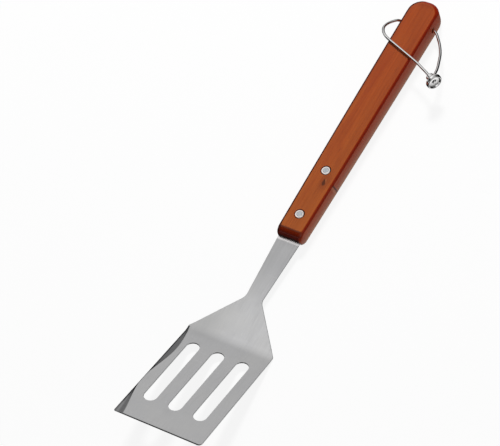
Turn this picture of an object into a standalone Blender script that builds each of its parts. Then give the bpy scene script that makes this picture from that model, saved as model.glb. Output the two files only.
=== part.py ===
# Grill spatula: a slotted sheet-steel blade with its neck and tang in one piece,
# a hardwood handle slotted for the tang, two two-part cutlery rivets and a wire
# hanging ring closed by a small turned cap.
#
# Frame: metres, +Z up.  The handle's flat back lies in the plane Z = 0, +Y runs
# along the handle from the blade towards the far end, +X is across.  The origin is
# on the back of the handle, half way along the grip.  The blade's heel, the bend
# between the shoulder and the blade, touches the same plane.
import bpy
import bmesh
import math
from mathutils import Vector, Matrix

for ob in list(bpy.data.objects):
    bpy.data.objects.remove(ob, do_unlink=True)

MM = 0.001
GAP = 0.3                       # clearance left between mating meshes, mm

# ---- driving dimensions, millimetres and degrees --------------------------------
# handle
HANDLE_FRONT_Y = -120.0         # blade-side end of the handle
HANDLE_LENGTH = 239.0
HANDLE_WIDTH_NEAR = 22.4        # at the blade-side end
HANDLE_WIDTH_FAR = 26.2         # 230 mm further along
HANDLE_BARREL = 0.6             # extra width at mid length
HANDLE_THICK_NEAR = 14.8
HANDLE_THICK_FAR = 18.2         # 230 mm further along
SIDE_ROUND = 2.4                # rounding of the long edges
NEAR_END_ROUND = 6.5            # rolled edge of the blade-side end
NEAR_CORNER = 2.3               # corner radius in plan, blade-side end
FAR_END_ROUND = 5.0             # rolled edge of the far end
FAR_CORNER = 11.4               # corner radius in plan, far end
# sheet-steel blade
SHEET = 1.2
TANG_LENGTH = 84.0
TANG_HALF = 7.6
TANG_SHOULDER = 1.6             # length of full-width neck inside the handle
NECK_LENGTH = 57.5
NECK_HALF_NEAR = 10.0
NECK_HALF_FAR = 7.2
SHOULDER_LENGTH = 38.2
BLADE_HALF_NEAR = 38.2
BLADE_HALF_TIP = 39.1
BLADE_LENGTH = 104.0
NECK_PITCH = 1.42               # neck falls towards the blade
SHOULDER_BEND = 5.7             # shoulder falls this much more
HEEL_BEND = 24.2                # blade rises from the shoulder's line
NECK_BEND_RADIUS = 14.0
HEEL_RADIUS = 24.0
TIP_CORNER_LEFT = 1.5
TIP_CORNER_RIGHT = 3.2
SHOULDER_CORNER = 2.4
NECK_CORNER = 8.0
SLOT_COUNT = 3
SLOT_WIDTH = 11.2
SLOT_PITCH = 22.3
SLOT_START = 14.5               # from the heel
SLOT_END = 83.5
EDGE_THICK = 0.35               # thickness left at the ground left edge
BEVEL_MIN = 1.0                # narrowest ground width
BEVEL_LOBE_1 = 5.0              # extra ground width, first hollow
BEVEL_LOBE_2 = 8.4              # extra ground width, second hollow, at the tip
# rivets
RIVET_Y = (-100.0, -56.7)
RIVET_HEAD_R = 3.8
RIVET_HEAD_T = 1.6
RIVET_TUBE_R = 2.8
RIVET_BORE_R = 2.25
RIVET_SHANK_R = 1.95
RIVET_HOLE_R = RIVET_TUBE_R + GAP
# hanging ring
RING_Y = 98.6                   # cross hole through the handle
WIRE_R = 1.1
CROSS_HOLE_R = 1.6
REST_GAP = 0.25                 # wire above the handle's front face at rest
CROSS_X = (-10.5, 20.5)         # two points of the run across the front face
CROSS_Y = (71.7, 60.0)
CAP_R = 6.6
CAP_BOSS_R = 3.2
CAP_AXIS_DEG = -10.0            # cap axis, from the run across the face, in the ring's plane
CAP_FACE_UV = (59.0, -34.4)     # centre of the cap's face, in the ring's plane


# ---- materials ---------------------------------------------------------------------
def material(name, colour, metallic, roughness):
    m = bpy.data.materials.new(name)
    m.use_nodes = True
    b = m.node_tree.nodes["Principled BSDF"]
    b.inputs["Base Color"].default_value = (*colour, 1.0)
    b.inputs["Metallic"].default_value = metallic
    b.inputs["Roughness"].default_value = roughness
    m.diffuse_color = (*colour, 1.0)
    return m


MAT = {
    "blade": material("blade_steel", (0.50, 0.50, 0.51), 1.0, 0.34),
    "handle": material("handle_wood", (0.33, 0.075, 0.022), 0.0, 0.25),
    "rivet": material("rivet_metal", (0.62, 0.60, 0.59), 1.0, 0.30),
    "ring": material("ring_chrome", (0.72, 0.72, 0.73), 1.0, 0.10),
    "cap": material("cap_chrome", (0.70, 0.70, 0.71), 1.0, 0.14),
}


def new_object(name, bm, mat=None, smooth=40.0):
    me = bpy.data.meshes.new(name)
    bm.to_mesh(me)
    bm.free()
    ob = bpy.data.objects.new(name, me)
    bpy.context.scene.collection.objects.link(ob)
    if mat:
        me.materials.append(mat)
    if smooth:
        me.shade_smooth()
        me.set_sharp_from_angle(angle=math.radians(smooth))
    return ob


def as_cutter(ob):
    ob.hide_render = True
    ob.display_type = 'WIRE'
    return ob


def cut(ob, cutter):
    m = ob.modifiers.new("cut_" + cutter.name, 'BOOLEAN')
    m.operation = 'DIFFERENCE'
    m.solver = 'EXACT'
    m.object = cutter


def turned(name, profile, mat=None, segments=32, smooth=40.0):
    """Solid of revolution about local Z; profile is (r, z) in mm, from axis to axis."""
    bm = bmesh.new()
    rings = []
    for r, z in profile:
        if r < 1e-9:
            rings.append([bm.verts.new((0.0, 0.0, z * MM))])
        else:
            rings.append([bm.verts.new((r * MM * math.cos(2 * math.pi * k / segments),
                                        r * MM * math.sin(2 * math.pi * k / segments),
                                        z * MM)) for k in range(segments)])
    for a, b in zip(rings[:-1], rings[1:]):
        for k in range(segments):
            j = (k + 1) % segments
            if len(a) == 1 and len(b) > 1:
                bm.faces.new((a[0], b[k], b[j]))
            elif len(b) == 1 and len(a) > 1:
                bm.faces.new((a[k], b[0], a[j]))
            elif len(a) > 1:
                bm.faces.new((a[k], b[k], b[j], a[j]))
    bmesh.ops.recalc_face_normals(bm, faces=bm.faces)
    return new_object(name, bm, mat, smooth)


def aim(ob, origin, direction):
    """Place ob at origin (mm) with its local +Z along direction."""
    q = Vector(direction).normalized().to_track_quat('Z', 'Y')
    ob.matrix_world = Matrix.Translation(Vector(origin) * MM) @ q.to_matrix().to_4x4()


# ---- the sheet: side profile ----------------------------------------------------------
def sheet_path():
    """Segments of the sheet's mid-surface from the handle's end to the tip:
    (length, turn in radians); a positive turn lifts the blade."""
    b1 = math.radians(SHOULDER_BEND)
    b2 = math.radians(HEEL_BEND)
    a1 = NECK_BEND_RADIUS * b1
    a2 = HEEL_RADIUS * b2
    return [(NECK_LENGTH - a1 / 2, 0.0), (a1, -b1),
            (SHOULDER_LENGTH - a1 / 2 - a2 / 2, 0.0), (a2, b2),
            (BLADE_LENGTH - a2 / 2, 0.0)]


def at_station(s, z0=0.0):
    """Mid-surface point (y, z) and pitch at distance s from the handle's end."""
    pitch = -math.radians(NECK_PITCH)          # falling towards the blade
    y, z = HANDLE_FRONT_Y, z0
    if s <= 0:
        return y - s * math.cos(pitch), z + s * math.sin(pitch), pitch
    left = s
    for length, turn in sheet_path():
        d = min(left, length)
        k = turn / length
        if abs(k) < 1e-12:
            y -= d * math.cos(pitch)
            z += d * math.sin(pitch)
        else:
            p2 = pitch + k * d
            y -= (math.sin(p2) - math.sin(pitch)) / k
            z += (math.cos(pitch) - math.cos(p2)) / k
            pitch = p2
        left -= d
        if left <= 1e-12:
            break
    if left > 0:
        y -= left * math.cos(pitch)
        z += left * math.sin(pitch)
    return y, z, pitch


LOWEST = min(at_station(0.25 * i)[1] - SHEET / 2 * math.cos(at_station(0.25 * i)[2])
             for i in range(500))
SHEET_Z = -LOWEST                # mid-surface height at the handle's end


def on_sheet(x, s, off):
    y, z, p = at_station(s, SHEET_Z)
    return Vector((x, y + off * math.sin(p), z + off * math.cos(p))) * MM


HEEL = NECK_LENGTH + SHOULDER_LENGTH
TIP = HEEL + BLADE_LENGTH


def bevel_width(t):
    """Width of the ground left edge at distance t from the heel."""
    w = BEVEL_MIN
    if -3.0 < t < 61.0:
        w += BEVEL_LOBE_1 * math.sin(math.pi * ((t + 3.0) / 64.0) ** 0.9) ** 1.6
    if t > 68.0:
        w += BEVEL_LOBE_2 * math.sin(math.pi / 2 * (t - 68.0) / 42.0) ** 2
    return w


def blade_half(t):
    return BLADE_HALF_NEAR + (BLADE_HALF_TIP - BLADE_HALF_NEAR) * t / BLADE_LENGTH


def corner(p0, p1, p2, r, n=5):
    """Points that round the corner p1 between p0 and p2 with radius r."""
    p0, p1, p2 = Vector(p0), Vector(p1), Vector(p2)
    u, v = (p0 - p1).normalized(), (p2 - p1).normalized()
    ang = u.angle(v)
    d = r / math.tan(ang / 2)
    c = p1 + (u + v).normalized() * (r / math.sin(ang / 2))
    a, b = p1 + u * d - c, p1 + v * d - c
    total = a.angle_signed(b)
    out = []
    for i in range(n + 1):
        t = -total * i / n
        out.append(tuple(c + Vector((a.x * math.cos(t) - a.y * math.sin(t),
                                     a.x * math.sin(t) + a.y * math.cos(t)))))
    return out


def flat_pattern():
    """Flat blank in (x, s): the main region's outline, its holes, and the strip of
    the ground edge, which shares its inner line with the main region."""
    T = BLADE_LENGTH
    ts = [0.0 + T * i / 30.0 for i in range(30)]
    inner = [(-blade_half(t) + bevel_width(t), HEEL + t) for t in ts]
    outer = [(-blade_half(t), HEEL + t) for t in ts]
    tip_in = (-BLADE_HALF_TIP + bevel_width(T), TIP)
    inner.append(tip_in)
    outer += corner((-BLADE_HALF_TIP, TIP - 10), (-BLADE_HALF_TIP, TIP), (0, TIP),
                    TIP_CORNER_LEFT, 5)
    # right side and shoulders, from the tip back to the tang and round to the heel
    right = corner((0, TIP), (BLADE_HALF_TIP, TIP), (blade_half(T - 20), TIP - 20),
                   TIP_CORNER_RIGHT, 6)
    right += corner((blade_half(10), HEEL + 10), (BLADE_HALF_NEAR, HEEL),
                    (NECK_HALF_FAR, NECK_LENGTH), SHOULDER_CORNER, 4)
    right += corner((BLADE_HALF_NEAR, HEEL), (NECK_HALF_FAR, NECK_LENGTH),
                    (NECK_HALF_NEAR, 0), NECK_CORNER, 6)
    right += [(NECK_HALF_NEAR, 0.0), (NECK_HALF_NEAR, -TANG_SHOULDER)]
    right += [(TANG_HALF, -TANG_SHOULDER)]
    right += corner((TANG_HALF, -TANG_SHOULDER), (TANG_HALF, -TANG_LENGTH),
                    (0, -TANG_LENGTH), 5.0, 6)
    left = [(-x, s) for x, s in reversed(right[right.index((NECK_HALF_NEAR, 0.0)) - 7:])]
    main = inner + right + left
    # the left shoulder corner closes on the first inner point
    strip = list(outer) + list(reversed(inner))
    holes = []
    for i in range(SLOT_COUNT):
        xc = (i - (SLOT_COUNT - 1) / 2) * SLOT_PITCH
        r = SLOT_WIDTH / 2
        loop = []
        for k in range(13):
            a = math.pi * k / 12
            loop.append((xc + r * math.cos(a), HEEL + SLOT_END - r + r * math.sin(a)))
        for k in range(13):
            a = math.pi + math.pi * k / 12
            loop.append((xc + r * math.cos(a), HEEL + SLOT_START + r + r * math.sin(a)))
        holes.append(loop)
    for y in RIVET_Y:
        s = -(y - HANDLE_FRONT_Y) / math.cos(math.radians(NECK_PITCH))
        holes.append([(RIVET_HOLE_R * math.cos(2 * math.pi * k / 24),
                       s + RIVET_HOLE_R * math.sin(2 * math.pi * k / 24)) for k in range(24)])
    return main, strip, holes


def build_blade():
    main, strip, holes = flat_pattern()
    bm = bmesh.new()
    key = {}

    def vert(p):
        k = (round(p[0], 5), round(p[1], 5))
        if k not in key:
            key[k] = bm.verts.new((p[0], p[1], 0.0))
        return key[k]

    def loop_edges(pts):
        vs = [vert(p) for p in pts]
        es = []
        for a, b in zip(vs, vs[1:] + vs[:1]):
            if a is b:
                continue
            e = bm.edges.get((a, b)) or bm.edges.new((a, b))
            es.append(e)
        return es

    es = loop_edges(main)
    for h in holes:
        es += loop_edges(h)
    bmesh.ops.triangle_fill(bm, use_beauty=True, use_dissolve=False, edges=es)
    inner_keys = {(round(p[0], 5), round(p[1], 5)) for p in strip[-31:]}
    outer_pts = strip[:-31]
    inner_pts = list(reversed(strip[-31:]))
    # strip of the ground edge: bridge the outer line to the inner one
    o = [vert(p) for p in outer_pts]
    n = [vert(p) for p in inner_pts]
    for i in range(30):
        a, b, c, d = n[i], n[i + 1], o[min(i + 1, len(o) - 1)], o[i]
        if i < 29:
            bm.faces.new((a, b, c, d))
    last = [n[29], n[30]] + list(reversed(o[29:]))
    bm.faces.new(last)
    bmesh.ops.recalc_face_normals(bm, faces=bm.faces)
    if sum(f.normal.z for f in bm.faces) < 0:
        bmesh.ops.reverse_faces(bm, faces=bm.faces)
    # stations where the sheet bends, and a few on the flats so that long facets stay tidy
    b1 = NECK_BEND_RADIUS * math.radians(SHOULDER_BEND)
    b2 = HEEL_RADIUS * math.radians(HEEL_BEND)
    cuts = [NECK_LENGTH + b1 * (k / 3 - 0.5) for k in range(4)]
    cuts += [HEEL + b2 * (k / 6 - 0.5) for k in range(7)]
    for s in cuts:
        geom = list(bm.verts) + list(bm.edges) + list(bm.faces)
        bmesh.ops.bisect_plane(bm, geom=geom, dist=1e-5, plane_co=(0, s, 0),
                               plane_no=(0, 1, 0))
    bmesh.ops.triangulate(bm, faces=bm.faces)
    bm.verts.index_update()
    # thickness of each point: full, thinning to the ground edge
    out = bmesh.new()
    top, bot = {}, {}
    for v in bm.verts:
        x, s = v.co.x, v.co.y
        t = s - HEEL
        up = SHEET / 2
        if t > -1e-6:
            e = x + blade_half(t)                  # distance from the left edge
            w = bevel_width(min(t, BLADE_LENGTH))
            if e < w - 1e-4:
                up = -SHEET / 2 + EDGE_THICK + (SHEET - EDGE_THICK) * max(e, 0.0) / w
        top[v.index] = out.verts.new(on_sheet(x, s, up))
        bot[v.index] = out.verts.new(on_sheet(x, s, -SHEET / 2))
    for f in bm.faces:
        idx = [v.index for v in f.verts]
        out.faces.new([top[i] for i in idx])
        out.faces.new([bot[i] for i in reversed(idx)])
    for e in bm.edges:
        if len(e.link_faces) == 1:
            f = e.link_faces[0]
            lp = next(l for l in f.loops if l.edge == e)
            a, b = lp.vert.index, lp.link_loop_next.vert.index
            out.faces.new((top[b], top[a], bot[a], bot[b]))
    bm.free()
    bmesh.ops.recalc_face_normals(out, faces=out.faces)
    return new_object("blade", out, MAT["blade"], 12.0)


# ---- the handle ------------------------------------------------------------------------
def handle_half(y):
    u = (y - HANDLE_FRONT_Y) / 230.0
    return 0.5 * (HANDLE_WIDTH_NEAR + (HANDLE_WIDTH_FAR - HANDLE_WIDTH_NEAR) * u
                  + 4 * HANDLE_BARREL * u * (1 - u))


def handle_top(y):
    u = (y - HANDLE_FRONT_Y) / 230.0
    return HANDLE_THICK_NEAR + (HANDLE_THICK_FAR - HANDLE_THICK_NEAR) * u


def handle_plan(inset=0.0):
    """Outline in plan, counter-clockwise; inset runs from 0 at mid height to 1 on the
    flat faces, where the rolled edges end."""
    side_in = SIDE_ROUND * inset
    y0 = HANDLE_FRONT_Y + NEAR_END_ROUND * inset
    y1 = HANDLE_FRONT_Y + HANDLE_LENGTH - FAR_END_ROUND * inset
    rc = NEAR_CORNER
    pts = []
    w0 = handle_half(y0) - side_in
    for k in range(5):                              # end face, left to right
        pts.append((-w0 + rc + (2 * w0 - 2 * rc) * k / 4, y0))
    for k in range(1, 6):                           # right corner
        a = -math.pi / 2 + math.pi / 2 * k / 6
        pts.append((w0 - rc + rc * math.cos(a), y0 + rc + rc * math.sin(a)))
    n = 26
    rf = FAR_CORNER - side_in
    ya, yb = y0 + rc, y1 - rf
    for k in range(n + 1):                          # right side
        y = ya + (yb - ya) * k / n
        pts.append((handle_half(y) - side_in, y))
    wf = handle_half(yb) - side_in
    for k in range(1, 20):                          # far end
        a = math.pi * k / 20
        c = math.cos(a)
        pts.append(((wf - rf) * (0 if abs(c) < 1e-9 else math.copysign(1, c)) + rf * c,
                    yb + rf * math.sin(a)))
    for k in range(n + 1):                          # left side
        y = yb - (yb - ya) * k / n
        pts.append((-(handle_half(y) - side_in), y))
    for k in range(1, 6):                           # left corner
        a = math.pi + math.pi / 2 * k / 6
        pts.append((-w0 + rc + rc * math.cos(a), y0 + rc + rc * math.sin(a)))
    return pts


def edge_round(y):
    """Rounding radius of the edge at y: small along the sides, larger at both ends."""
    y0, y1 = HANDLE_FRONT_Y, HANDLE_FRONT_Y + HANDLE_LENGTH

    def ease(t):
        t = max(0.0, min(1.0, t))
        return t * t * (3 - 2 * t)
    near = (NEAR_END_ROUND - SIDE_ROUND) * ease(1 - (y - y0) / 5.0)
    far = (FAR_END_ROUND - SIDE_ROUND) * ease((y - (y1 - 16.0)) / 14.0)
    return SIDE_ROUND + near + far


def build_handle():
    base = handle_plan()
    count = len(base)
    steps = 6
    levels = []
    for k in range(steps + 1):                      # lower edge, upwards
        levels.append((-1, math.pi / 2 * (1 - k / steps)))
    for k in range(steps + 1):                      # upper edge
        levels.append((1, math.pi / 2 * k / steps))
    bm = bmesh.new()
    loops = []
    for side, a in levels:
        ring = []
        for (x, y), (_, yb) in zip(handle_plan(1 - math.cos(a)), base):
            r = edge_round(yb)
            z = r - r * math.sin(a) if side < 0 else handle_top(y) - r + r * math.sin(a)
            ring.append(bm.verts.new(Vector((x, y, z)) * MM))
        loops.append(ring)
    for lo, hi in zip(loops[:-1], loops[1:]):
        for i in range(count):
            j = (i + 1) % count
            bm.faces.new((lo[i], lo[j], hi[j], hi[i]))
    bm.faces.new(list(reversed(loops[0])))
    bm.faces.new(loops[-1])
    bmesh.ops.recalc_face_normals(bm, faces=bm.faces)
    handle = new_object("handle", bm, MAT["handle"], 30.0)

    # blind slot for the tang, square to the sheet, wider at its mouth for the neck
    wide, slim = NECK_HALF_NEAR + GAP, TANG_HALF + GAP
    step, end, half = TANG_SHOULDER + GAP, TANG_LENGTH + GAP, SHEET / 2 + GAP
    outline = [(-wide, -4.0), (wide, -4.0), (wide, step), (slim, step), (slim, end),
               (-slim, end), (-slim, step), (-wide, step)]
    bm = bmesh.new()
    low = [bm.verts.new(Vector((x, y, -half)) * MM) for x, y in outline]
    high = [bm.verts.new(Vector((x, y, half)) * MM) for x, y in outline]
    bm.faces.new(list(reversed(low)))
    bm.faces.new(high)
    for i in range(len(outline)):
        j = (i + 1) % len(outline)
        bm.faces.new((low[i], low[j], high[j], high[i]))
    slot = as_cutter(new_object("cut_tang_slot", bm, None, 0))
    slot.location = Vector((0, HANDLE_FRONT_Y, SHEET_Z)) * MM
    slot.rotation_euler = (math.radians(NECK_PITCH), 0, 0)
    cut(handle, slot)

    # rivet holes with a counterbore at each face
    for i, y in enumerate(RIVET_Y):
        top = handle_top(y)
        r, c = RIVET_HOLE_R, RIVET_HEAD_R + GAP
        d = RIVET_HEAD_T + GAP
        bore = turned("cut_rivet_%d" % (i + 1),
                      [(0, -3), (c, -3), (c, d + 0.2), (r, d + 0.2), (r, top - d),
                       (c, top - d), (c, top + 3), (0, top + 3)], None, 32, 0)
        as_cutter(bore)
        bore.location = Vector((0, y, 0)) * MM
        cut(handle, bore)

    # cross hole for the ring
    hole = turned("cut_ring_hole", [(0, -20), (CROSS_HOLE_R, -20), (CROSS_HOLE_R, 20), (0, 20)],
                  None, 24, 0)
    as_cutter(hole)
    aim(hole, (0, RING_Y, handle_top(RING_Y) / 2), (1, 0, 0))
    cut(handle, hole)
    return handle


# ---- rivets ---------------------------------------------------------------------------
def build_rivets():
    for i, y in enumerate(RIVET_Y):
        top = handle_top(y)
        low = 0.25                                   # back head sits just inside the back face
        floor = low + 1.6
        cup = turned("rivet_socket_%d" % (i + 1),
                     [(0, low), (3.3, low), (RIVET_HEAD_R, low + 0.35),
                      (RIVET_HEAD_R, low + RIVET_HEAD_T), (RIVET_TUBE_R, low + RIVET_HEAD_T),
                      (RIVET_TUBE_R, top - RIVET_HEAD_T - 0.9), (RIVET_BORE_R, top - RIVET_HEAD_T - 0.9),
                      (RIVET_BORE_R, floor + 0.6), (0, floor + 0.6)], MAT["rivet"], 32)
        cup.location = Vector((0, y, 0)) * MM
        pin = turned("rivet_pin_%d" % (i + 1),
                     [(0, top + 0.28), (1.6, top + 0.25), (2.8, top + 0.14), (3.5, top - 0.02),
                      (RIVET_HEAD_R, top - 0.3), (RIVET_HEAD_R, top - RIVET_HEAD_T),
                      (RIVET_SHANK_R, top - RIVET_HEAD_T), (RIVET_SHANK_R, floor + 1.6),
                      (RIVET_SHANK_R - 0.4, floor + 1.2), (0, floor + 1.2)], MAT["rivet"], 32)
        pin.location = Vector((0, y, 0)) * MM


# ---- hanging ring ------------------------------------------------------------------------
HINGE = Vector((0.0, RING_Y, handle_top(RING_Y) / 2))
A = Vector((CROSS_X[0], CROSS_Y[0], handle_top(CROSS_Y[0]) + WIRE_R + REST_GAP))
B = Vector((CROSS_X[1], CROSS_Y[1], handle_top(CROSS_Y[1]) + WIRE_R + REST_GAP))
EU = (B - A).normalized()                            # along the run across the face
EN = EU.cross(HINGE - A).normalized()                # normal of the ring's plane
if EN.z < 0:
    EN = -EN
EV = EN.cross(EU)
RUN_V = (A - HINGE).dot(EV)                          # the run's place in the ring's plane


def in_ring(u, v):
    return HINGE + EU * u + EV * v


def smooth_path(points, spacing):
    """Centripetal Catmull-Rom curve through the points, at about the given spacing."""
    p = [points[0] + (points[0] - points[1])] + list(points) + [points[-1] + (points[-1] - points[-2])]
    out = []
    for i in range(1, len(p) - 2):
        p0, p1, p2, p3 = p[i - 1], p[i], p[i + 1], p[i + 2]
        t0 = 0.0
        t1 = t0 + (p1 - p0).length ** 0.5
        t2 = t1 + (p2 - p1).length ** 0.5
        t3 = t2 + (p3 - p2).length ** 0.5
        n = max(1, round((p2 - p1).length / spacing))
        for k in range(n):
            t = t1 + (t2 - t1) * k / n
            a1 = p0 * ((t1 - t) / (t1 - t0)) + p1 * ((t - t0) / (t1 - t0))
            a2 = p1 * ((t2 - t) / (t2 - t1)) + p2 * ((t - t1) / (t2 - t1))
            a3 = p2 * ((t3 - t) / (t3 - t2)) + p3 * ((t - t2) / (t3 - t2))
            b1 = a1 * ((t2 - t) / (t2 - t0)) + a2 * ((t - t0) / (t2 - t0))
            b2 = a2 * ((t3 - t) / (t3 - t1)) + a3 * ((t - t1) / (t3 - t1))
            out.append(b1 * ((t2 - t) / (t2 - t1)) + b2 * ((t - t1) / (t2 - t1)))
    out.append(points[-1])
    return out


def ring_points():
    """The wire from the cap, over the front face, round and through the cross hole,
    and back to the cap."""
    v = RUN_V
    x = Vector((1, 0, 0))
    ax = math.radians(CAP_AXIS_DEG)
    along = Vector((math.cos(ax), math.sin(ax)))
    face = Vector(CAP_FACE_UV)
    pts = []
    for back in (5.6, 9.6, 13.4):                    # straight into the cap's boss
        p = face - along * back
        pts.append(in_ring(p.x, p.y))
    pts += [in_ring(*q) for q in ((39.0, v - 0.75), (33.5, v - 0.1), (27.0, v), (16.0, v),
                                  (5.0, v), (-3.0, v + 0.05), (-8.0, v + 0.9),
                                  (-12.6, v + 3.2), (-15.9, v + 6.9), (-17.1, v + 11.8),
                                  (-16.8, v + 16.6), (-15.4, v + 21.2))]
    pts += [HINGE - x * 15.6 + Vector((0, -1.3, 0.9)), HINGE - x * 13.2, HINGE - x * 7.0,
            HINGE + x * 7.0, HINGE + x * 13.2, HINGE + x * 16.0 + Vector((0, -0.9, -0.3))]
    pts += [in_ring(*q) for q in ((20.2, 2.7), (28.4, -2.4), (35.8, -8.4), (42.4, -15.6),
                                  (47.9, -22.2), (51.3, -27.6), (52.8, -30.2))]
    return pts


def build_ring():
    pts = smooth_path(ring_points(), 2.2)
    cu = bpy.data.curves.new("ring_wire", 'CURVE')
    cu.dimensions = '3D'
    sp = cu.splines.new('POLY')
    sp.points.add(len(pts) - 1)
    for q, p in zip(sp.points, pts):
        q.co = (*((p - HINGE) * MM), 1.0)
    cu.bevel_depth = WIRE_R * MM
    cu.bevel_resolution = 3
    cu.use_fill_caps = True
    wire = bpy.data.objects.new("ring_wire", cu)
    bpy.context.scene.collection.objects.link(wire)
    cu.materials.append(MAT["ring"])
    wire.location = HINGE * MM

    ax = math.radians(CAP_AXIS_DEG)
    axis = EU * math.cos(ax) + EV * math.sin(ax)
    face = in_ring(*CAP_FACE_UV)
    cap = turned("ring_cap",
                 [(0, 0.35), (1.8, 0.28), (3.6, 0.02), (5.0, -0.42), (6.0, -1.0), (CAP_R, -1.8),
                  (CAP_R, -2.6), (6.1, -3.2), (CAP_BOSS_R + 0.5, -3.7), (CAP_BOSS_R, -4.3),
                  (CAP_BOSS_R, -8.3), (CAP_BOSS_R - 0.7, -9.0), (0, -9.0)], MAT["cap"], 36)
    aim(cap, face, axis)
    ends = ring_points()
    for k, (tip, inner) in enumerate(((ends[1], ends[0]), (ends[-2], ends[-1]))):
        d = (inner - tip).normalized()
        hole = turned("cut_cap_%d" % (k + 1),
                      [(0, -8.0), (WIRE_R + GAP, -8.0), (WIRE_R + GAP, GAP), (0, GAP)], None, 20, 0)
        as_cutter(hole)
        aim(hole, inner, d)
        cut(cap, hole)
    # both swing about the cross hole
    pivot = bpy.data.objects.new("ring_pivot", None)
    bpy.context.scene.collection.objects.link(pivot)
    pivot.location = HINGE * MM
    bpy.context.view_layer.update()
    for ob in (wire, cap):
        m = ob.matrix_world.copy()
        ob.parent = pivot
        ob.matrix_parent_inverse = pivot.matrix_world.inverted()
        ob.matrix_world = m


build_blade()
build_handle()
build_rivets()
build_ring()
bpy.context.view_layer.update()
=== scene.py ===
# Grill spatula: the looks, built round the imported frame.
import bpy
import bmesh
import math
from mathutils import Vector, Matrix


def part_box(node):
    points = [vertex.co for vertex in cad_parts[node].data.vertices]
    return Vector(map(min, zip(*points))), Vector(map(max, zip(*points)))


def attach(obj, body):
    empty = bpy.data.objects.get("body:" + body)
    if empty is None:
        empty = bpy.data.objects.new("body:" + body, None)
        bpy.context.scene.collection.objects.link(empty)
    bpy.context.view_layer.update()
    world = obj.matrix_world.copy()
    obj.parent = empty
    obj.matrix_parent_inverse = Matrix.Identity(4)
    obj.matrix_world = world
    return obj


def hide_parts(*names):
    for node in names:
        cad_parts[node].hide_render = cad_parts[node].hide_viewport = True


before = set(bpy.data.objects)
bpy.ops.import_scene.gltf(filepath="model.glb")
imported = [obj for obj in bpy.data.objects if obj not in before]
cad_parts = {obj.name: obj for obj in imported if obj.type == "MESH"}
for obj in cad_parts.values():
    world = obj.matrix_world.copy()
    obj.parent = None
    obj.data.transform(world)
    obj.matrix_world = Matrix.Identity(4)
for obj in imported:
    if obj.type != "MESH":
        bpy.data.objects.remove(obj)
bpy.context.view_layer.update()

scene = bpy.context.scene
scene.view_settings.view_transform = 'Standard'
scene.view_settings.look = 'None'
scene.view_settings.exposure = 0.0
scene.view_settings.gamma = 1.0

MM = 0.001

# ---- the design's own dimensions, millimetres and degrees (as in part.py) ---------
GAP = 0.3
HANDLE_FRONT_Y = -120.0
HANDLE_LENGTH = 239.0
HANDLE_WIDTH_NEAR = 22.4
HANDLE_WIDTH_FAR = 26.2
HANDLE_BARREL = 0.6
HANDLE_THICK_NEAR = 14.8
HANDLE_THICK_FAR = 18.2
SIDE_ROUND = 2.4
NEAR_END_ROUND = 6.5
NEAR_CORNER = 2.3
FAR_END_ROUND = 5.0
FAR_CORNER = 11.4
SHEET = 1.2
TANG_LENGTH = 84.0
TANG_HALF = 7.6
TANG_SHOULDER = 1.6
NECK_LENGTH = 57.5
NECK_HALF_NEAR = 10.0
NECK_HALF_FAR = 7.2
SHOULDER_LENGTH = 38.2
BLADE_HALF_NEAR = 38.2
BLADE_HALF_TIP = 39.1
BLADE_LENGTH = 104.0
NECK_PITCH = 1.42
SHOULDER_BEND = 5.7
HEEL_BEND = 24.2
NECK_BEND_RADIUS = 14.0
HEEL_RADIUS = 24.0
TIP_CORNER_LEFT = 1.5
TIP_CORNER_RIGHT = 3.2
SHOULDER_CORNER = 2.4
NECK_CORNER = 8.0
SLOT_COUNT = 3
SLOT_WIDTH = 11.2
SLOT_PITCH = 22.3
SLOT_START = 14.5
SLOT_END = 83.5
EDGE_THICK = 0.35
BEVEL_MIN = 1.0
BEVEL_LOBE_1 = 5.0
BEVEL_LOBE_2 = 8.4
RIVET_Y = (-100.0, -56.7)
RIVET_HEAD_R = 3.8
RIVET_HEAD_T = 1.6
RIVET_TUBE_R = 2.8
RIVET_BORE_R = 2.25
RIVET_SHANK_R = 1.95
RIVET_HOLE_R = RIVET_TUBE_R + GAP
RING_Y = 98.6
WIRE_R = 1.1
CROSS_HOLE_R = 1.6
REST_GAP = 0.25
CROSS_X = (-10.5, 20.5)
CROSS_Y = (71.7, 60.0)
CAP_R = 6.6
CAP_BOSS_R = 3.2
CAP_AXIS_DEG = -10.0
CAP_FACE_UV = (59.0, -34.4)


# ------------------------------------------------------------------ camera
def make_camera():
    cd = bpy.data.cameras.new("camera")
    cam = bpy.data.objects.new("camera", cd)
    scene.collection.objects.link(cam)
    right = Vector((0.84643, 0.48792, -0.2133)).normalized()
    back = Vector((0.42833, -0.38585, 0.8171)).normalized()
    up = back.cross(right).normalized()
    right = up.cross(back)
    m = Matrix((right, up, back)).transposed().to_4x4()
    m.translation = Vector((0.912569, -0.973776, 1.818303))
    cam.matrix_world = m
    cd.sensor_width = 36.0
    cd.sensor_fit = 'HORIZONTAL'
    cd.lens = 203.2
    cd.clip_start = 0.05
    cd.clip_end = 50.0
    cd.dof.use_dof = False
    scene.camera = cam
    return cam


make_camera()


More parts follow.
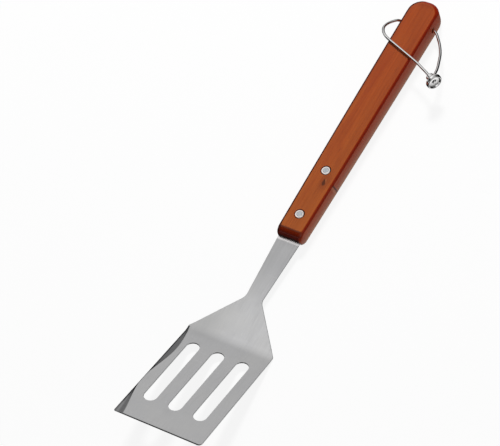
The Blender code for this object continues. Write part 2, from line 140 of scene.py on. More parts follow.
# ------------------------------------------------------------------ node helpers
class Nodes:
    def __init__(self, name):
        self.mat = bpy.data.materials.new(name)
        self.mat.use_nodes = True
        self.nt = self.mat.node_tree
        self.nt.nodes.clear()
        self.out = self.nt.nodes.new("ShaderNodeOutputMaterial")
        self.bsdf = self.nt.nodes.new("ShaderNodeBsdfPrincipled")
        self.link(self.bsdf.outputs[0], self.out.inputs[0])

    def link(self, a, b):
        self.nt.links.new(a, b)

    def node(self, kind, **props):
        n = self.nt.nodes.new(kind)
        for k, v in props.items():
            setattr(n, k, v)
        return n

    def coords(self):
        return self.node("ShaderNodeTexCoord").outputs["Object"]

    def mapping(self, vec, scale=(1, 1, 1), loc=(0, 0, 0), rot=(0, 0, 0)):
        m = self.node("ShaderNodeMapping")
        m.inputs["Location"].default_value = loc
        m.inputs["Rotation"].default_value = rot
        m.inputs["Scale"].default_value = scale
        self.link(vec, m.inputs["Vector"])
        return m.outputs[0]

    def noise(self, vec, scale=1.0, detail=4.0, rough=0.55, dist=0.0):
        n = self.node("ShaderNodeTexNoise")
        n.inputs["Scale"].default_value = scale
        n.inputs["Detail"].default_value = detail
        n.inputs["Roughness"].default_value = rough
        n.inputs["Distortion"].default_value = dist
        self.link(vec, n.inputs["Vector"])
        return n.outputs["Fac"]

    def ramp(self, fac, stops, interp='LINEAR'):
        r = self.node("ShaderNodeValToRGB")
        r.color_ramp.interpolation = interp
        els = r.color_ramp.elements
        while len(els) < len(stops):
            els.new(0.5)
        for e, (p, c) in zip(els, stops):
            e.position = p
            e.color = (*c, 1.0)
        self.link(fac, r.inputs[0])
        return r.outputs[0]

    def math(self, op, a, b=0.0, c=None, clamp=False):
        n = self.node("ShaderNodeMath", operation=op, use_clamp=clamp)
        for i, v in enumerate((a, b) if c is None else (a, b, c)):
            if hasattr(v, "links"):
                self.link(v, n.inputs[i])
            else:
                n.inputs[i].default_value = v
        return n.outputs[0]

    def maprange(self, v, a, b, c, d, smooth=False):
        n = self.node("ShaderNodeMapRange", clamp=True)
        if smooth:
            n.interpolation_type = 'SMOOTHSTEP'
        self.link(v, n.inputs[0])
        for i, x in enumerate((a, b, c, d)):
            n.inputs[i + 1].default_value = x
        return n.outputs[0]

    def mix(self, fac, a, b, blend='MIX'):
        n = self.node("ShaderNodeMix", data_type='RGBA', blend_type=blend)
        n.clamp_factor = True
        for s, v in ((n.inputs[0], fac), (n.inputs[6], a), (n.inputs[7], b)):
            if hasattr(v, "links"):
                self.link(v, s)
            elif isinstance(v, (int, float)):
                s.default_value = v
            else:
                s.default_value = (*v, 1.0) if len(v) == 3 else v
        return n.outputs[2]

    def bump(self, height, strength=0.2, distance=0.0002, normal=None):
        n = self.node("ShaderNodeBump")
        n.inputs["Strength"].default_value = strength
        n.inputs["Distance"].default_value = distance
        self.link(height, n.inputs["Height"])
        if normal is not None:
            self.link(normal, n.inputs["Normal"])
        return n.outputs[0]

    def xyz(self, vec):
        s = self.node("ShaderNodeSeparateXYZ")
        self.link(vec, s.inputs[0])
        return s.outputs

    def distance(self, vec, point, scale):
        """Distance from a point, with each axis scaled."""
        m = self.mapping(vec, scale, tuple(-p * s for p, s in zip(point, scale)))
        n = self.node("ShaderNodeVectorMath", operation='LENGTH')
        self.link(m, n.inputs[0])
        return n.outputs["Value"]


def srgb(r, g, b):
    def f(c):
        c /= 255.0
        return c / 12.92 if c <= 0.04045 else ((c + 0.055) / 1.055) ** 2.4
    return (f(r), f(g), f(b))


# ------------------------------------------------------------------ materials
WOOD_GAIN = 1.0


def wood_material():
    m = Nodes("lacquered_hardwood")
    p = m.coords()
    x, y, z = m.xyz(p)[:3]
    # growth rings cut at a slant, drawn out along the grain
    sway = m.noise(m.mapping(p, (16, 3.5, 16)), 1.0, 2.0, 0.5)
    rings = m.math('ADD', m.math('MULTIPLY', x, 210.0), m.math('MULTIPLY', z, 330.0))
    rings = m.math('ADD', rings, m.math('MULTIPLY', sway, 15.0))
    rings = m.math('ADD', m.math('MULTIPLY', m.math('SINE', rings), 0.5), 0.5)
    fine = m.noise(m.mapping(p, (900, 17, 900)), 1.0, 4.0, 0.6)
    streak = m.noise(m.mapping(p, (170, 4.0, 170)), 1.0, 4.0, 0.55, 0.5)
    broad = m.noise(m.mapping(p, (34, 11, 40)), 1.0, 3.0, 0.5, 0.4)
    pores = m.noise(m.mapping(p, (3100, 95, 3100)), 1.0, 2.0, 0.5)
    along = m.maprange(y, -0.115, 0.119, 0.0, 1.0)
    near = m.ramp(streak, [(0.28, srgb(172, 76, 25)), (0.46, srgb(181, 91, 31)),
                           (0.60, srgb(186, 97, 34)), (0.76, srgb(180, 82, 26))])
    far = m.ramp(streak, [(0.28, srgb(154, 56, 15)), (0.50, srgb(169, 66, 18)),
                          (0.66, srgb(173, 71, 20)), (0.80, srgb(160, 59, 15))])
    base = m.mix(along, near, far)
    base = m.mix(m.maprange(broad, 0.50, 0.72, 0.0, 0.42), base, srgb(180, 88, 28))
    base = m.mix(m.maprange(broad, 0.30, 0.46, 0.40, 0.0), base, srgb(146, 48, 16))
    base = m.mix(m.math('MULTIPLY', m.maprange(rings, 0.55, 1.0, 0.0, 1.0), 0.17), base, srgb(104, 34, 12))
    base = m.mix(m.maprange(fine, 0.42, 0.66, 0.0, 0.16), base, srgb(96, 30, 10))
    base = m.mix(m.maprange(pores, 0.62, 0.72, 0.0, 0.38), base, srgb(64, 18, 8))
    # small pin knot in the front face, with the grain closing round it
    wob = m.math('MULTIPLY', m.math('SUBTRACT', m.noise(p, 700.0, 2.0), 0.5), 0.9)
    d = m.math('ADD', m.distance(p, (0.0043, -0.0664, 0.0156), (560, 250, 150)), wob)
    halo = m.maprange(d, 0.9, 3.2, 0.34, 0.0, True)
    base = m.mix(halo, base, srgb(120, 42, 12))
    wedge = m.maprange(m.math('ADD', m.math('MULTIPLY', m.math('SUBTRACT', x, 0.0043), 1.0),
                              m.math('MULTIPLY', m.math('SUBTRACT', y, -0.0664), 0.55)), 0.0003, 0.0009, 1.0, 0.0)
    base = m.mix(m.math('MULTIPLY', m.maprange(d, 0.70, 1.15, 0.92, 0.0), wedge), base, srgb(84, 34, 2))
    base = m.mix(m.math('MULTIPLY', m.maprange(d, 0.50, 1.0, 0.45, 0.0), m.math('SUBTRACT', 1.0, wedge)),
                 base, srgb(172, 106, 60))
    # the same knot leaves a slanting figure on the side
    slant = m.math('ADD', y, m.math('MULTIPLY', z, 0.22))
    slant = m.math('ADD', slant, m.math('MULTIPLY', m.math('SUBTRACT', m.noise(p, 300.0, 2.0), 0.5), 0.0008))
    band = m.math('ABSOLUTE', m.math('SUBTRACT', slant, -0.0637))
    # end grain drinks the stain: dark blade-side end, a little at the far end
    jag = m.math('ADD', m.math('MULTIPLY', m.math('SUBTRACT', fine, 0.5), 0.0018),
                 m.math('MULTIPLY', m.math('SUBTRACT', streak, 0.5), 0.0022))
    yj = m.math('ADD', y, jag)
    e0 = m.maprange(yj, -0.1143, -0.1134, 0.82, 0.0, True)
    base = m.mix(e0, base, srgb(78, 14, 3))
    base = m.mix(m.maprange(yj, -0.1195, -0.1160, 0.85, 0.0, True), base, srgb(34, 8, 5))
    e1 = m.maprange(y, 0.1085, 0.1180, 0.0, 0.45, True)
    base = m.mix(e1, base, srgb(110, 24, 8))
    # painted shade on the rounded edges: deep red on the upper roundings, near black on the left and under the right;
    # paler where they meet the face
    geo = m.node("ShaderNodeNewGeometry")
    nz = m.math('ABSOLUTE', m.xyz(geo.outputs["Normal"])[2])
    nx, _, up = m.xyz(geo.outputs["Normal"])[:3]
    right = m.maprange(nx, 0.05, 0.30, 0.0, 1.0, True)
    # down the right side: painted shade, deep red at the top, fading to a painted pale greyish reflection towards the
    # lower edge
    flank = m.math('MULTIPLY', right, m.maprange(nz, 0.75, 0.45, 0.0, 1.0, True))
    flank_height = m.math('ADD', z, m.math('MULTIPLY', m.math('SUBTRACT', streak, 0.5), 0.0030))
    flank_shade_reflection = m.ramp(m.maprange(flank_height, 0.0010, 0.0150, 1.0, 0.0),
                  [(0.0, srgb(150, 46, 6)), (0.30, srgb(152, 56, 16)), (0.55, srgb(150, 66, 34)),
                   (0.74, srgb(158, 92, 62)), (1.0, srgb(178, 126, 102))])
    base = m.mix(m.math('MULTIPLY', flank, 0.85), base, flank_shade_reflection)
    # painted shade: the upper roundings are painted deep red
    rolled_edge_shade = m.math('MULTIPLY', m.maprange(nz, 0.985, 0.90, 0.0, 1.0, True), m.maprange(nz, 0.10, 0.42, 0.0, 1.0, True))
    rolled_edge_shade = m.math('MULTIPLY', rolled_edge_shade, m.maprange(up, -0.2, 0.2, 0.0, 1.0))
    rolled_edge_shade = m.math('MULTIPLY', rolled_edge_shade, m.math('SUBTRACT', 1.0, m.math('MULTIPLY', e0, 0.6)))
    base = m.mix(m.math('MULTIPLY', rolled_edge_shade, 0.90), base, srgb(136, 24, 1))
    shade_l = m.math('MULTIPLY', m.maprange(nx, -0.05, -0.24, 0.0, 0.85, True), m.maprange(nz, 0.3, 0.6, 0.4, 1.0))
    base = m.mix(shade_l, base, srgb(48, 14, 6))
    shade_r = m.math('MULTIPLY', right, m.maprange(up, -0.12, -0.34, 0.0, 0.9, True))
    base = m.mix(shade_r, base, srgb(34, 18, 14))
    # the same knot leaves a slanting figure on the side
    slant = m.math('ADD', y, m.math('MULTIPLY', z, 0.22))
    slant = m.math('ADD', slant, m.math('MULTIPLY', m.math('SUBTRACT', m.noise(p, 300.0, 2.0), 0.5), 0.0008))
    band = m.math('ABSOLUTE', m.math('SUBTRACT', slant, -0.0637))
    side = m.math('MULTIPLY', right, m.maprange(z, 0.0150, 0.0128, 0.0, 1.0, True))
    base = m.mix(m.math('MULTIPLY', m.maprange(band, 0.0004, 0.0011, 0.85, 0.0), side), base, srgb(50, 18, 10))
    pale = m.math('ABSOLUTE', m.math('SUBTRACT', slant, -0.0658))
    base = m.mix(m.math('MULTIPLY', m.maprange(pale, 0.0006, 0.0016, 0.60, 0.0), side), base, srgb(168, 104, 74))
    face_join_band = m.math('MULTIPLY', m.maprange(nz, 0.9999, 0.995, 0.0, 1.0, True), m.maprange(nz, 0.985, 0.995, 0.0, 1.0, True))
    base = m.mix(m.math('MULTIPLY', face_join_band, 0.30), base, srgb(190, 100, 48))
    m.link(base, m.bsdf.inputs["Base Color"])
    m.link(m.maprange(fine, 0.3, 0.7, 0.36, 0.50), m.bsdf.inputs["Roughness"])
    m.bsdf.inputs["IOR"].default_value = 1.45
    m.bsdf.inputs["Specular IOR Level"].default_value = 0.12
    m.bsdf.inputs["Coat Roughness"].default_value = 0.07
    m.bsdf.inputs["Coat IOR"].default_value = 1.42
    h = m.math('ADD', m.math('MULTIPLY', fine, 0.5), m.math('MULTIPLY', pores, 0.5))
    h = m.math('SUBTRACT', h, m.maprange(d, 0.3, 1.1, 0.8, 0.0))
    # the lacquer is thinner high on the right side, and builds up towards its lower edge
    thin = m.math('MULTIPLY', flank, m.maprange(flank_height, 0.0045, 0.0125, 0.0, 0.85, True))
    m.link(m.math('MULTIPLY', m.math('SUBTRACT', 1.0, thin), 0.36), m.bsdf.inputs["Coat Weight"])
    m.link(m.bump(h, 0.16, 0.0001), m.bsdf.inputs["Normal"])
    peel = m.noise(m.mapping(p, (260, 60, 260)), 1.0, 2.0, 0.5)
    m.link(m.bump(peel, 0.10, 0.0003), m.bsdf.inputs["Coat Normal"])
    return m.mat


def steel_material(name="satin_steel", base=(0.58, 0.58, 0.585), rough=(0.27, 0.37), ground=False):
    m = Nodes(name)
    p = m.coords()
    x, y, z = m.xyz(p)[:3]
    brush = m.noise(m.mapping(p, (2600, 34, 400)), 1.0, 4.0, 0.62)
    grain = m.noise(m.mapping(p, (5200, 420, 1500)), 1.0, 2.0, 0.5)
    cloud = m.noise(p, 34.0, 3.0, 0.5)
    smudge = m.noise(m.mapping(p, (60, 22, 60)), 1.0, 5.0, 0.6, 0.8)
    col = m.mix(m.maprange(brush, 0.3, 0.7, 0.0, 0.45), base, tuple(c * 0.86 for c in base))
    col = m.mix(m.maprange(grain, 0.35, 0.7, 0.0, 0.30), col, tuple(c * 0.90 for c in base))
    col = m.mix(m.maprange(cloud, 0.40, 0.70, 0.0, 0.35), col, (base[0] * 1.04, base[1] * 1.03, base[2] * 1.0))
    # a few fine handling scratches, each way
    s1 = m.noise(m.mapping(p, (900, 26, 900), rot=(0, 0, 0.5)), 1.0, 2.0, 0.4)
    s2 = m.noise(m.mapping(p, (26, 1100, 900), rot=(0, 0, 0.35)), 1.0, 2.0, 0.4)
    scr = m.math('MAXIMUM', m.maprange(s1, 0.715, 0.74, 0.0, 1.0), m.maprange(s2, 0.72, 0.745, 0.0, 1.0))
    col = m.mix(m.math('MULTIPLY', scr, 0.30), col, tuple(min(1.0, c * 1.25) for c in base))
    # painted shade: the neck is darker towards the handle, the shoulder towards its left
    neck_shade_y = m.math('ADD', y, m.math('MULTIPLY', m.math('SUBTRACT', cloud, 0.5), 0.02))
    col = m.mix(m.maprange(neck_shade_y, -0.196, -0.138, 0.0, 1.0, True), col, (0.78, 0.78, 0.785), 'MULTIPLY')
    shoulder_shade = m.math('ADD', x, m.math('MULTIPLY', m.math('SUBTRACT', cloud, 0.5), 0.014))
    shoulder_shade = m.math('MULTIPLY', m.maprange(shoulder_shade, 0.004, -0.030, 0.0, 1.0, True),
                  m.maprange(y, -0.226, -0.212, 0.0, 1.0, True))
    col = m.mix(shoulder_shade, col, (0.84, 0.84, 0.83), 'MULTIPLY')
    # painted shade: a dark line along the blade's tip edge
    tip_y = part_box("blade")[0][1]
    col = m.mix(m.maprange(y, tip_y + 0.0010, tip_y + 0.0005, 0.0, 0.75), col, srgb(60, 60, 62))
    # painted highlight: a pale pinkish band across the neck where it leaves the handle
    neck_highlight_y = m.math('ADD', y, m.math('MULTIPLY', m.math('SUBTRACT', cloud, 0.5), 0.0012))
    col = m.mix(m.maprange(neck_highlight_y, -0.1232, -0.1212, 0.0, 0.85, True), col, (0.98, 0.95, 0.95))
    if ground:
        att = m.node("ShaderNodeAttribute")
        att.attribute_name = "ground"
        lines = m.noise(m.mapping(p, (70, 3800, 300), rot=(0, 0, -0.08)), 1.0, 3.0, 0.6)
        dark = m.mix(m.maprange(lines, 0.35, 0.65, 0.0, 0.5), srgb(120, 120, 121), srgb(98, 98, 99))
        col = m.mix(m.maprange(att.outputs["Fac"], 0.0, 0.6, 0.0, 1.0), col, dark)
        # painted shade: near black along the blade's outer left edge
        col = m.mix(m.maprange(att.outputs["Fac"], 0.7, 1.0, 0.0, 1.0), col, srgb(34, 34, 36))
        m.link(m.bump(lines, 0.12, 0.00005), m.bsdf.inputs["Normal"])
    else:
        hh = m.math('ADD', brush, m.math('MULTIPLY', grain, 0.5))
        m.link(m.bump(hh, 0.07, 0.00005), m.bsdf.inputs["Normal"])
    m.link(col, m.bsdf.inputs["Base Color"])
    m.bsdf.inputs["Metallic"].default_value = 1.0
    rg = m.math('ADD', m.maprange(brush, 0.25, 0.75, rough[0], rough[1]), m.maprange(smudge, 0.5, 0.75, 0.0, 0.05))
    m.link(rg, m.bsdf.inputs["Roughness"])
    return m.mat


def rivet_material():
    m = Nodes("rivet_satin")
    p = m.coords()
    dy = m.math('MINIMUM', m.distance(p, (0, RIVET_Y[0] * MM, 0), (1000, 1000, 0)),
                m.distance(p, (0, RIVET_Y[1] * MM, 0), (1000, 1000, 0)))
    spin = m.noise(m.mapping(p, (900, 900, 900)), 1.0, 3.0, 0.6)
    pit = m.noise(p, 2600.0, 2.0, 0.5)
    # painted highlight: the head's outer rim is painted near white
    edge = m.math('ADD', dy, m.math('MULTIPLY', m.math('SUBTRACT', spin, 0.5), 0.5))
    col = m.mix(m.maprange(edge, 2.1, 2.7, 0.0, 1.0, True), srgb(196, 201, 205), srgb(250, 240, 236))
    col = m.mix(m.maprange(spin, 0.4, 0.7, 0.0, 0.3), col, srgb(188, 186, 184), 'MULTIPLY')
    col = m.mix(m.maprange(pit, 0.66, 0.74, 0.0, 0.5), col, srgb(120, 118, 116))
    # painted shade: a dark ring at the head's outermost edge, where it sits in its recess
    col = m.mix(m.maprange(dy, 3.62, 3.78, 0.0, 0.7), col, srgb(70, 60, 56))
    m.link(col, m.bsdf.inputs["Base Color"])
    m.bsdf.inputs["Metallic"].default_value = 1.0
    m.link(m.maprange(spin, 0.3, 0.7, 0.30, 0.42), m.bsdf.inputs["Roughness"])
    ring = m.math('SINE', m.math('MULTIPLY', dy, 42.0))
    hh = m.math('ADD', m.math('MULTIPLY', ring, 0.25), pit)
    m.link(m.bump(hh, 0.08, 0.00005), m.bsdf.inputs["Normal"])
    return m.mat


def chrome_material(name="bright_chrome", lo=0.05, hi=0.10):
    m = Nodes(name)
    p = m.coords()
    cloud = m.noise(p, 220.0, 3.0, 0.5)
    draw = m.noise(p, 1900.0, 3.0, 0.6)
    col = m.mix(m.maprange(cloud, 0.35, 0.7, 0.0, 0.5), srgb(228, 227, 226), srgb(212, 211, 212))
    col = m.mix(m.maprange(draw, 0.62, 0.78, 0.0, 0.35), col, srgb(170, 168, 168))
    m.link(col, m.bsdf.inputs["Base Color"])
    m.bsdf.inputs["Metallic"].default_value = 1.0
    m.link(m.maprange(cloud, 0.3, 0.7, lo, hi), m.bsdf.inputs["Roughness"])
    m.link(m.bump(draw, 0.03, 0.00005), m.bsdf.inputs["Normal"])
    return m.mat


WOOD = wood_material()
STEEL = steel_material()
GROUND = steel_material("ground_steel", rough=(0.20, 0.28), ground=True)
RIVET = rivet_material()
CHROME = chrome_material("bright_chrome", 0.03, 0.06)
CAPMAT = chrome_material("cap_chrome", 0.07, 0.13)


# ------------------------------------------------------------------ mesh helpers
def new_object(name, bm, mats=(), sharp=None):
    me = bpy.data.meshes.new(name)
    bm.to_mesh(me)
    bm.free()
    ob = bpy.data.objects.new(name, me)
    scene.collection.objects.link(ob)
    for mat in mats:
        me.materials.append(mat)
    me.shade_smooth()
    if sharp:
        me.set_sharp_from_angle(angle=math.radians(sharp))
    return ob


def weighted(ob):
    w = ob.modifiers.new("weighted", 'WEIGHTED_NORMAL')
    w.mode = 'FACE_AREA'
    w.weight = 80
    w.keep_sharp = True
    return ob


def apply_modifiers(ob):
    dg = bpy.context.evaluated_depsgraph_get()
    me = bpy.data.meshes.new_from_object(ob.evaluated_get(dg), preserve_all_data_layers=True, depsgraph=dg)
    ob.modifiers.clear()
    old = ob.data
    ob.data = me
    bpy.data.meshes.remove(old)
    return ob


def turned(name, profile, mats=(), segments=96, sharp=32.0):
    """Solid of revolution about local Z; profile is (r, z) in mm, from axis to axis."""
    bm = bmesh.new()
    rings = []
    for r, z in profile:
        if r < 1e-9:
            rings.append([bm.verts.new((0.0, 0.0, z * MM))])
        else:
            rings.append([bm.verts.new((r * MM * math.cos(2 * math.pi * k / segments),
                                        r * MM * math.sin(2 * math.pi * k / segments),
                                        z * MM)) for k in range(segments)])
    for a, b in zip(rings[:-1], rings[1:]):
        for k in range(segments):
            j = (k + 1) % segments
            if len(a) == 1 and len(b) > 1:
                bm.faces.new((a[0], b[k], b[j]))
            elif len(b) == 1 and len(a) > 1:
                bm.faces.new((a[k], b[0], a[j]))
            elif len(a) > 1:
                bm.faces.new((a[k], b[k], b[j], a[j]))
    bmesh.ops.recalc_face_normals(bm, faces=bm.faces)
    return new_object(name, bm, mats, sharp)


def rounded(profile, radii, n=6):
    """Profile with its corners rounded; radii[i] belongs to profile[i]."""
    out = []
    for i, (p, r) in enumerate(zip(profile, radii)):
        if r <= 0 or i in (0, len(profile) - 1):
            out.append(p)
            continue
        a, b, c = Vector(profile[i - 1]), Vector(p), Vector(profile[i + 1])
        u, v = (a - b), (c - b)
        ang = u.angle(v)
        d = min(r / math.tan(ang / 2), u.length * 0.49, v.length * 0.49)
        p1, p2 = b + u.normalized() * d, b + v.normalized() * d
        for k in range(n + 1):
            t = k / n
            q = p1 * (1 - t) ** 2 + b * 2 * t * (1 - t) + p2 * t * t
            out.append((q.x, q.y))
    return out


def aim(ob, origin, direction):
    q = Vector(direction).normalized().to_track_quat('Z', 'Y')
    ob.matrix_world = Matrix.Translation(Vector(origin) * MM) @ q.to_matrix().to_4x4()
    return ob


def settle(ob):
    """Put the object's placement into its mesh, so that it sits at the origin."""
    bpy.context.view_layer.update()
    ob.data.transform(ob.matrix_world)
    ob.matrix_world = Matrix.Identity(4)
    return ob


def smoothstep(t):
    t = max(0.0, min(1.0, t))
    return t * t * (3 - 2 * t)


# ------------------------------------------------------------------ the sheet
def sheet_path():
    b1 = math.radians(SHOULDER_BEND)
    b2 = math.radians(HEEL_BEND)
    a1 = NECK_BEND_RADIUS * b1
    a2 = HEEL_RADIUS * b2
    return [(NECK_LENGTH - a1 / 2, 0.0), (a1, -b1),
            (SHOULDER_LENGTH - a1 / 2 - a2 / 2, 0.0), (a2, b2),
            (BLADE_LENGTH - a2 / 2, 0.0)]


def at_station(s, z0=0.0):
    pitch = -math.radians(NECK_PITCH)
    y, z = HANDLE_FRONT_Y, z0
    if s <= 0:
        return y - s * math.cos(pitch), z + s * math.sin(pitch), pitch
    left = s
    for length, turn in sheet_path():
        d = min(left, length)
        k = turn / length
        if abs(k) < 1e-12:
            y -= d * math.cos(pitch)
            z += d * math.sin(pitch)
        else:
            p2 = pitch + k * d
            y -= (math.sin(p2) - math.sin(pitch)) / k
            z += (math.cos(pitch) - math.cos(p2)) / k
            pitch = p2
        left -= d
        if left <= 1e-12:
            break
    if left > 0:
        y -= left * math.cos(pitch)
        z += left * math.sin(pitch)
    return y, z, pitch


LOWEST = min(at_station(0.25 * i)[1] - SHEET / 2 * math.cos(at_station(0.25 * i)[2])
             for i in range(500))
SHEET_Z = -LOWEST


def on_sheet(x, s, off):
    y, z, p = at_station(s, SHEET_Z)
    return Vector((x, y + off * math.sin(p), z + off * math.cos(p))) * MM


HEEL = NECK_LENGTH + SHOULDER_LENGTH
TIP = HEEL + BLADE_LENGTH


def bevel_width(t):
    w = BEVEL_MIN
    if -3.0 < t < 61.0:
        w += BEVEL_LOBE_1 * math.sin(math.pi * ((t + 3.0) / 64.0) ** 0.9) ** 1.6
    if t > 68.0:
        w += BEVEL_LOBE_2 * math.sin(math.pi / 2 * (t - 68.0) / 42.0) ** 2
    return w


def blade_half(t):
    return BLADE_HALF_NEAR + (BLADE_HALF_TIP - BLADE_HALF_NEAR) * t / BLADE_LENGTH


def corner(p0, p1, p2, r, n=5):
    p0, p1, p2 = Vector(p0), Vector(p1), Vector(p2)
    u, v = (p0 - p1).normalized(), (p2 - p1).normalized()
    ang = u.angle(v)
    d = r / math.tan(ang / 2)
    c = p1 + (u + v).normalized() * (r / math.sin(ang / 2))
    a, b = p1 + u * d - c, p1 + v * d - c
    total = a.angle_signed(b)
    out = []
    for i in range(n + 1):
        t = -total * i / n
        out.append(tuple(c + Vector((a.x * math.cos(t) - a.y * math.sin(t),
                                     a.x * math.sin(t) + a.y * math.cos(t)))))
    return out


def inset_loop(pts, e):
    """Offset a closed loop of (x, s) to its left by e, with mitred corners."""
    n = len(pts)
    out = []
    for i in range(n):
        a, b, c = Vector(pts[i - 1]), Vector(pts[i]), Vector(pts[(i + 1) % n])
        d1, d2 = (b - a).normalized(), (c - b).normalized()
        n1, n2 = Vector((-d1.y, d1.x)), Vector((-d2.y, d2.x))
        m = (n1 + n2)
        m = m / max(0.2, m.length_squared) * 2.0
        q = b + m * e
        out.append((q.x, q.y))
    return out


RIM = 0.16                     # rounding of the sheet's cut edges


def top_height(x, s):
    """Upper surface above the mid-surface, and how strongly it is ground."""
    t = s - HEEL
    if x > -15 or t < -1.0:
        return SHEET / 2, 0.0
    tt = min(max(t, 0.0), BLADE_LENGTH)
    e = x + blade_half(tt)
    w = bevel_width(tt)
    if e >= w - 1e-4:
        return SHEET / 2, 0.0
    f = 1.0 - max(e, 0.0) / w
    depth = (SHEET - EDGE_THICK) * smoothstep((t + 0.5) / 7.0)
    return SHEET / 2 - depth * f ** 0.85, f


def build_blade():
    T = BLADE_LENGTH
    cols = 8
    # closed contour, clockwise seen from +z with s downwards: left edge heel -> tip first
    left = corner((-NECK_HALF_FAR, NECK_LENGTH), (-BLADE_HALF_NEAR, HEEL),
                  (-blade_half(10), HEEL + 10), SHOULDER_CORNER, 8)
    t0 = left[-1][1] - HEEL
    R = TIP_CORNER_LEFT
    n_rows = 130
    contour = [(-blade_half(t0 + (T - R - t0) * i / n_rows),
                HEEL + t0 + (T - R - t0) * i / n_rows) for i in range(n_rows)]
    contour += corner((-blade_half(T - 20), TIP - 20), (-BLADE_HALF_TIP, TIP), (0, TIP), R, 8)
    last = len(contour) - 1
    x_a, x_b = contour[-1][0], -BLADE_HALF_TIP + bevel_width(T)
    contour += [(x_a + (x_b - x_a) * j / cols, TIP) for j in range(1, cols + 1)]
    contour += corner((0, TIP), (BLADE_HALF_TIP, TIP), (blade_half(T - 20), TIP - 20),
                      TIP_CORNER_RIGHT, 16)
    contour += corner((blade_half(10), HEEL + 10), (BLADE_HALF_NEAR, HEEL),
                      (NECK_HALF_FAR, NECK_LENGTH), SHOULDER_CORNER, 8)
    contour += corner((BLADE_HALF_NEAR, HEEL), (NECK_HALF_FAR, NECK_LENGTH),
                      (NECK_HALF_NEAR, 0), NECK_CORNER, 14)
    half = [(NECK_HALF_NEAR, 0.0), (NECK_HALF_NEAR, -TANG_SHOULDER), (TANG_HALF, -TANG_SHOULDER)]
    half += corner((TANG_HALF, -TANG_SHOULDER), (TANG_HALF, -TANG_LENGTH), (0, -TANG_LENGTH), 5.0, 10)
    contour += half + [(-x, s) for x, s in reversed(half)]
    contour += corner((-NECK_HALF_NEAR, 0), (-NECK_HALF_FAR, NECK_LENGTH),
                      (-BLADE_HALF_NEAR, HEEL), NECK_CORNER, 14)
    contour += left[:-1]
    area = sum(a[0] * b[1] - b[0] * a[1] for a, b in zip(contour, contour[1:] + contour[:1]))
    side = 1.0 if area > 0 else -1.0
    ins = inset_loop(contour, RIM * side)

    bm = bmesh.new()
    key = {}

    def vert(p):
        k = (round(p[0], 5), round(p[1], 5))
        if k not in key:
            key[k] = bm.verts.new((p[0], p[1], 0.0))
        return key[k]

    rows = []
    for i in range(last + 1):
        xo, s = ins[i]
        t = s - HEEL
        if i < last:
            xi = -blade_half(min(t, T)) + bevel_width(min(t, T))
            rows.append([(xo + (xi - xo) * j / cols, s) for j in range(cols + 1)])
        else:
            rows.append([ins[last + j] for j in range(cols + 1)])
    strip_faces = []
    grid = [[vert(p) for p in r] for r in rows]
    for i in range(last):
        for j in range(cols):
            strip_faces.append(bm.faces.new((grid[i][j], grid[i][j + 1], grid[i + 1][j + 1], grid[i + 1][j])))
    strip_set = set(strip_faces)
    main = [rows[0][j] for j in range(cols + 1)] + [r[cols] for r in rows[1:]] + ins[last + cols + 1:]

    def loop_edges(pts):
        vs = [vert(p) for p in pts]
        es = []
        for a, b in zip(vs, vs[1:] + vs[:1]):
            if a is not b:
                es.append(bm.edges.get((a, b)) or bm.edges.new((a, b)))
        return es

    es = loop_edges(main)
    for i in range(SLOT_COUNT):
        xc = (i - (SLOT_COUNT - 1) / 2) * SLOT_PITCH
        r = SLOT_WIDTH / 2 + RIM
        loop = []
        for k in range(25):
            a = math.pi * k / 24
            loop.append((xc + r * math.cos(a), HEEL + SLOT_END - r + RIM + r * math.sin(a)))
        for k in range(25):
            a = math.pi + math.pi * k / 24
            loop.append((xc + r * math.cos(a), HEEL + SLOT_START + r - RIM + r * math.sin(a)))
        es += loop_edges(loop)
    for y in RIVET_Y:
        s = -(y - HANDLE_FRONT_Y) / math.cos(math.radians(NECK_PITCH))
        r = RIVET_HOLE_R + RIM
        es += loop_edges([(r * math.cos(2 * math.pi * k / 32), s + r * math.sin(2 * math.pi * k / 32))
                          for k in range(32)])
    bmesh.ops.triangle_fill(bm, use_beauty=True, use_dissolve=False, edges=es)
    # mark the strip before the cuts, which keep a face's material index
    for f in bm.faces:
        f.material_index = 1 if f in strip_set else 0
    b1 = NECK_BEND_RADIUS * math.radians(SHOULDER_BEND)
    b2 = HEEL_RADIUS * math.radians(HEEL_BEND)
    cuts = [NECK_LENGTH + b1 * (k / 8 - 0.5) for k in range(9)]
    cuts += [HEEL + b2 * (k / 16 - 0.5) for k in range(17)]
    cuts += [NECK_LENGTH * k / 6 for k in range(0, 6)] + [HEEL + 8 * k for k in range(1, 13)]
    for s in cuts:
        geom = list(bm.verts) + list(bm.edges) + list(bm.faces)
        bmesh.ops.bisect_plane(bm, geom=geom, dist=1e-5, plane_co=(0, s, 0), plane_no=(0, 1, 0))
    bmesh.ops.triangulate(bm, faces=bm.faces)
    bmesh.ops.recalc_face_normals(bm, faces=bm.faces)
    if sum(f.normal.z * f.calc_area() for f in bm.faces) < 0:
        bmesh.ops.reverse_faces(bm, faces=bm.faces)
    bm.verts.index_update()

    out = bmesh.new()
    lay = out.verts.layers.float.new("ground")
    top, bot, hgt = {}, {}, {}
    for v in bm.verts:
        x, s = v.co.x, v.co.y
        up, f = top_height(x, s)
        hgt[v.index] = up
        top[v.index] = out.verts.new(on_sheet(x, s, up))
        t = s - HEEL
        # the second hollow is lighter along its outer half
        dark = 0.6 * smoothstep(min(1.0, f * 14.0))
        if t > 74:
            dark *= 1.0 - 0.30 * smoothstep((f - 0.45) / 0.2) * smoothstep((t - 76) / 8)
